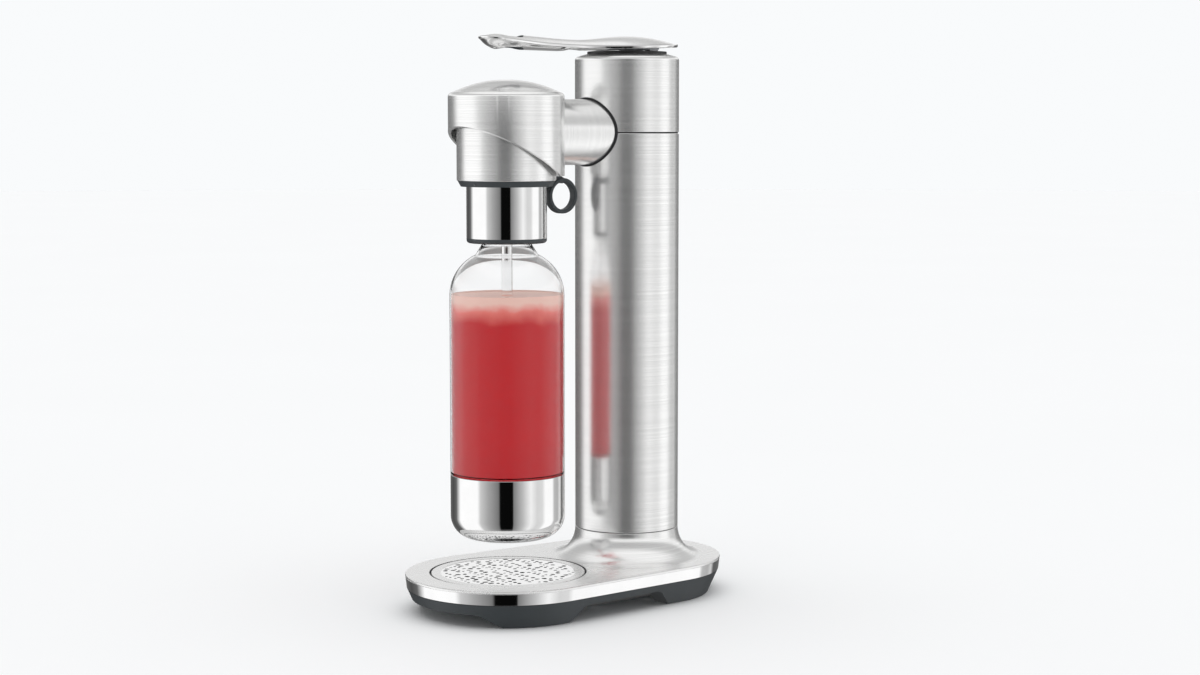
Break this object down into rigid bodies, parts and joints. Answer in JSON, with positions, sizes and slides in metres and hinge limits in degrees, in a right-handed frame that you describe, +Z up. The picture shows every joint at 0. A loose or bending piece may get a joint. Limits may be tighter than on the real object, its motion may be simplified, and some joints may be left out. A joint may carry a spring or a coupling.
{
  "type": "soda carbonator",
  "caption": "Countertop soda carbonator: round gas column with a spoon-shaped lever, an arm and head holding a clear bottle with a steel cup over a round drip tray.",
  "frame": {"origin": "on the floor at the middle of the footprint", "axes": "+Z up along the column, -Y towards the bottle and the user, +X to the user's right when facing the rear"},
  "size_m": [0.154, 0.265, 0.4301],
  "materials": {
    "brushed": "horizontally brushed stainless steel",
    "polished": "mirror polished stainless steel",
    "dark_plastic": "fine moulded slate grey",
    "black_plastic": "moulded black",
    "inner_plastic": "moulded grey",
    "rubber": "soft black",
    "zinc_steel": "plain plated steel",
    "cast_metal": "as cast",
    "canister_metal": "satin",
    "label": "plain white sleeve",
    "brass": "turned brass",
    "clear_bottle": "clear moulded bottle"
  },
  "bodies": {
    "stand": {"base_cover": "brushed", "base_band": "polished", "under_base": "dark_plastic", "foot_pads": "rubber", "base_plate": "zinc_steel", "base_screws": "zinc_steel", "tray_seal": "rubber", "column_shell": "brushed", "seam_gasket": "rubber", "column_frame": "inner_plastic", "canister_seat": "inner_plastic", "frame_screws": "zinc_steel", "top_housing": "brushed", "neck_ring": "black_plastic", "valve_block": "brass", "valve_bracket": "cast_metal", "valve_seal": "rubber", "relief_valve": "brass", "return_spring": "zinc_steel", "arm_tube": "brushed", "arm_core": "cast_metal", "arm_gasket": "rubber", "gas_tube": "brass", "head_cover": "brushed", "head_dock": "inner_plastic", "dock_seal": "rubber", "dock_screws": "zinc_steel", "pivot_block": "cast_metal", "lever_pin": "zinc_steel"},
    "lever": {"lever_shell": "brushed", "lever_fairing": "polished", "lever_yoke": "cast_metal"},
    "plunger": {"plunger": "zinc_steel"},
    "canister": {"canister_body": "canister_metal", "canister_label": "label", "canister_valve": "brass", "burst_nut": "brass"},
    "valve_pin": {"valve_pin": "zinc_steel"},
    "rear_cover": {"rear_cover": "brushed", "cover_clips": "inner_plastic"},
    "cap": {"cap_shell": "brushed", "cap_top": "inner_plastic", "cap_ring": "dark_plastic", "cap_collar": "polished", "collar_ring": "dark_plastic", "cap_core": "inner_plastic", "cap_seal": "rubber", "pressure_valve": "brass", "carbonation_tube": "polished", "tube_nozzle": "polished", "pull_ring_pin": "zinc_steel"},
    "pull_ring": {"pull_ring": "dark_plastic"},
    "bottle": {"bottle_body": "clear_bottle", "bottle_cup": "polished"},
    "drip_tray": {"drip_tray": "dark_plastic"},
    "drip_grille": {"drip_grille": "polished"}
  },
  "joints": [
    {"name": "lever_press", "type": "hinge", "parent": "stand", "child": "lever", "pos_m": [0, 0.0765, 0.409], "axis": [1, 0, 0], "range_deg": [0, 3.5], "stiffness_Nm_per_rad": 6, "springref_deg": -6.88, "deforming": ["return_spring"]},
    {"name": "plunger_travel", "type": "slide", "parent": "stand", "child": "plunger", "axis": [0, 0, -1], "range_m": [0, 0.0012]},
    {"name": "valve_pin_travel", "type": "slide", "parent": "canister", "child": "valve_pin", "axis": [0, 0, -1], "range_m": [0, 0.0012]},
    {"name": "canister_twist", "type": "hinge", "parent": "stand", "child": "canister", "pos_m": [0, 0.0595, 0.2], "axis": [0, 0, -1], "range_deg": [0, 720]},
    {"name": "rear_cover_pull", "type": "slide", "parent": "stand", "child": "rear_cover", "axis": [0, 1, 0], "range_m": [0, 0.06]},
    {"name": "cap_drop", "type": "slide", "parent": "stand", "child": "cap", "axis": [0, 0, -1], "range_m": [0, 0.01]},
    {"name": "pull_ring_swing", "type": "hinge", "parent": "cap", "child": "pull_ring", "pos_m": [0, -0.0045, 0.3209], "axis": [1, 0, 0], "range_deg": [-15, 25]},
    {"name": "bottle_twist", "type": "hinge", "parent": "cap", "child": "bottle", "pos_m": [0, -0.0555, 0.2], "axis": [0, 0, 1], "range_deg": [0, 540]},
    {"name": "tray_lift", "type": "slide", "parent": "stand", "child": "drip_tray", "axis": [0, 0, 1], "range_m": [0, 0.006]},
    {"name": "grille_lift", "type": "slide", "parent": "drip_tray", "child": "drip_grille", "axis": [0, 0, 1], "range_m": [0, 0.006]}
  ],
  "couplings": [
    {"joint": "plunger_travel", "follows": "lever_press", "m_per_rad": 0.017},
    {"joint": "valve_pin_travel", "follows": "lever_press", "m_per_rad": 0.017}
  ]
}
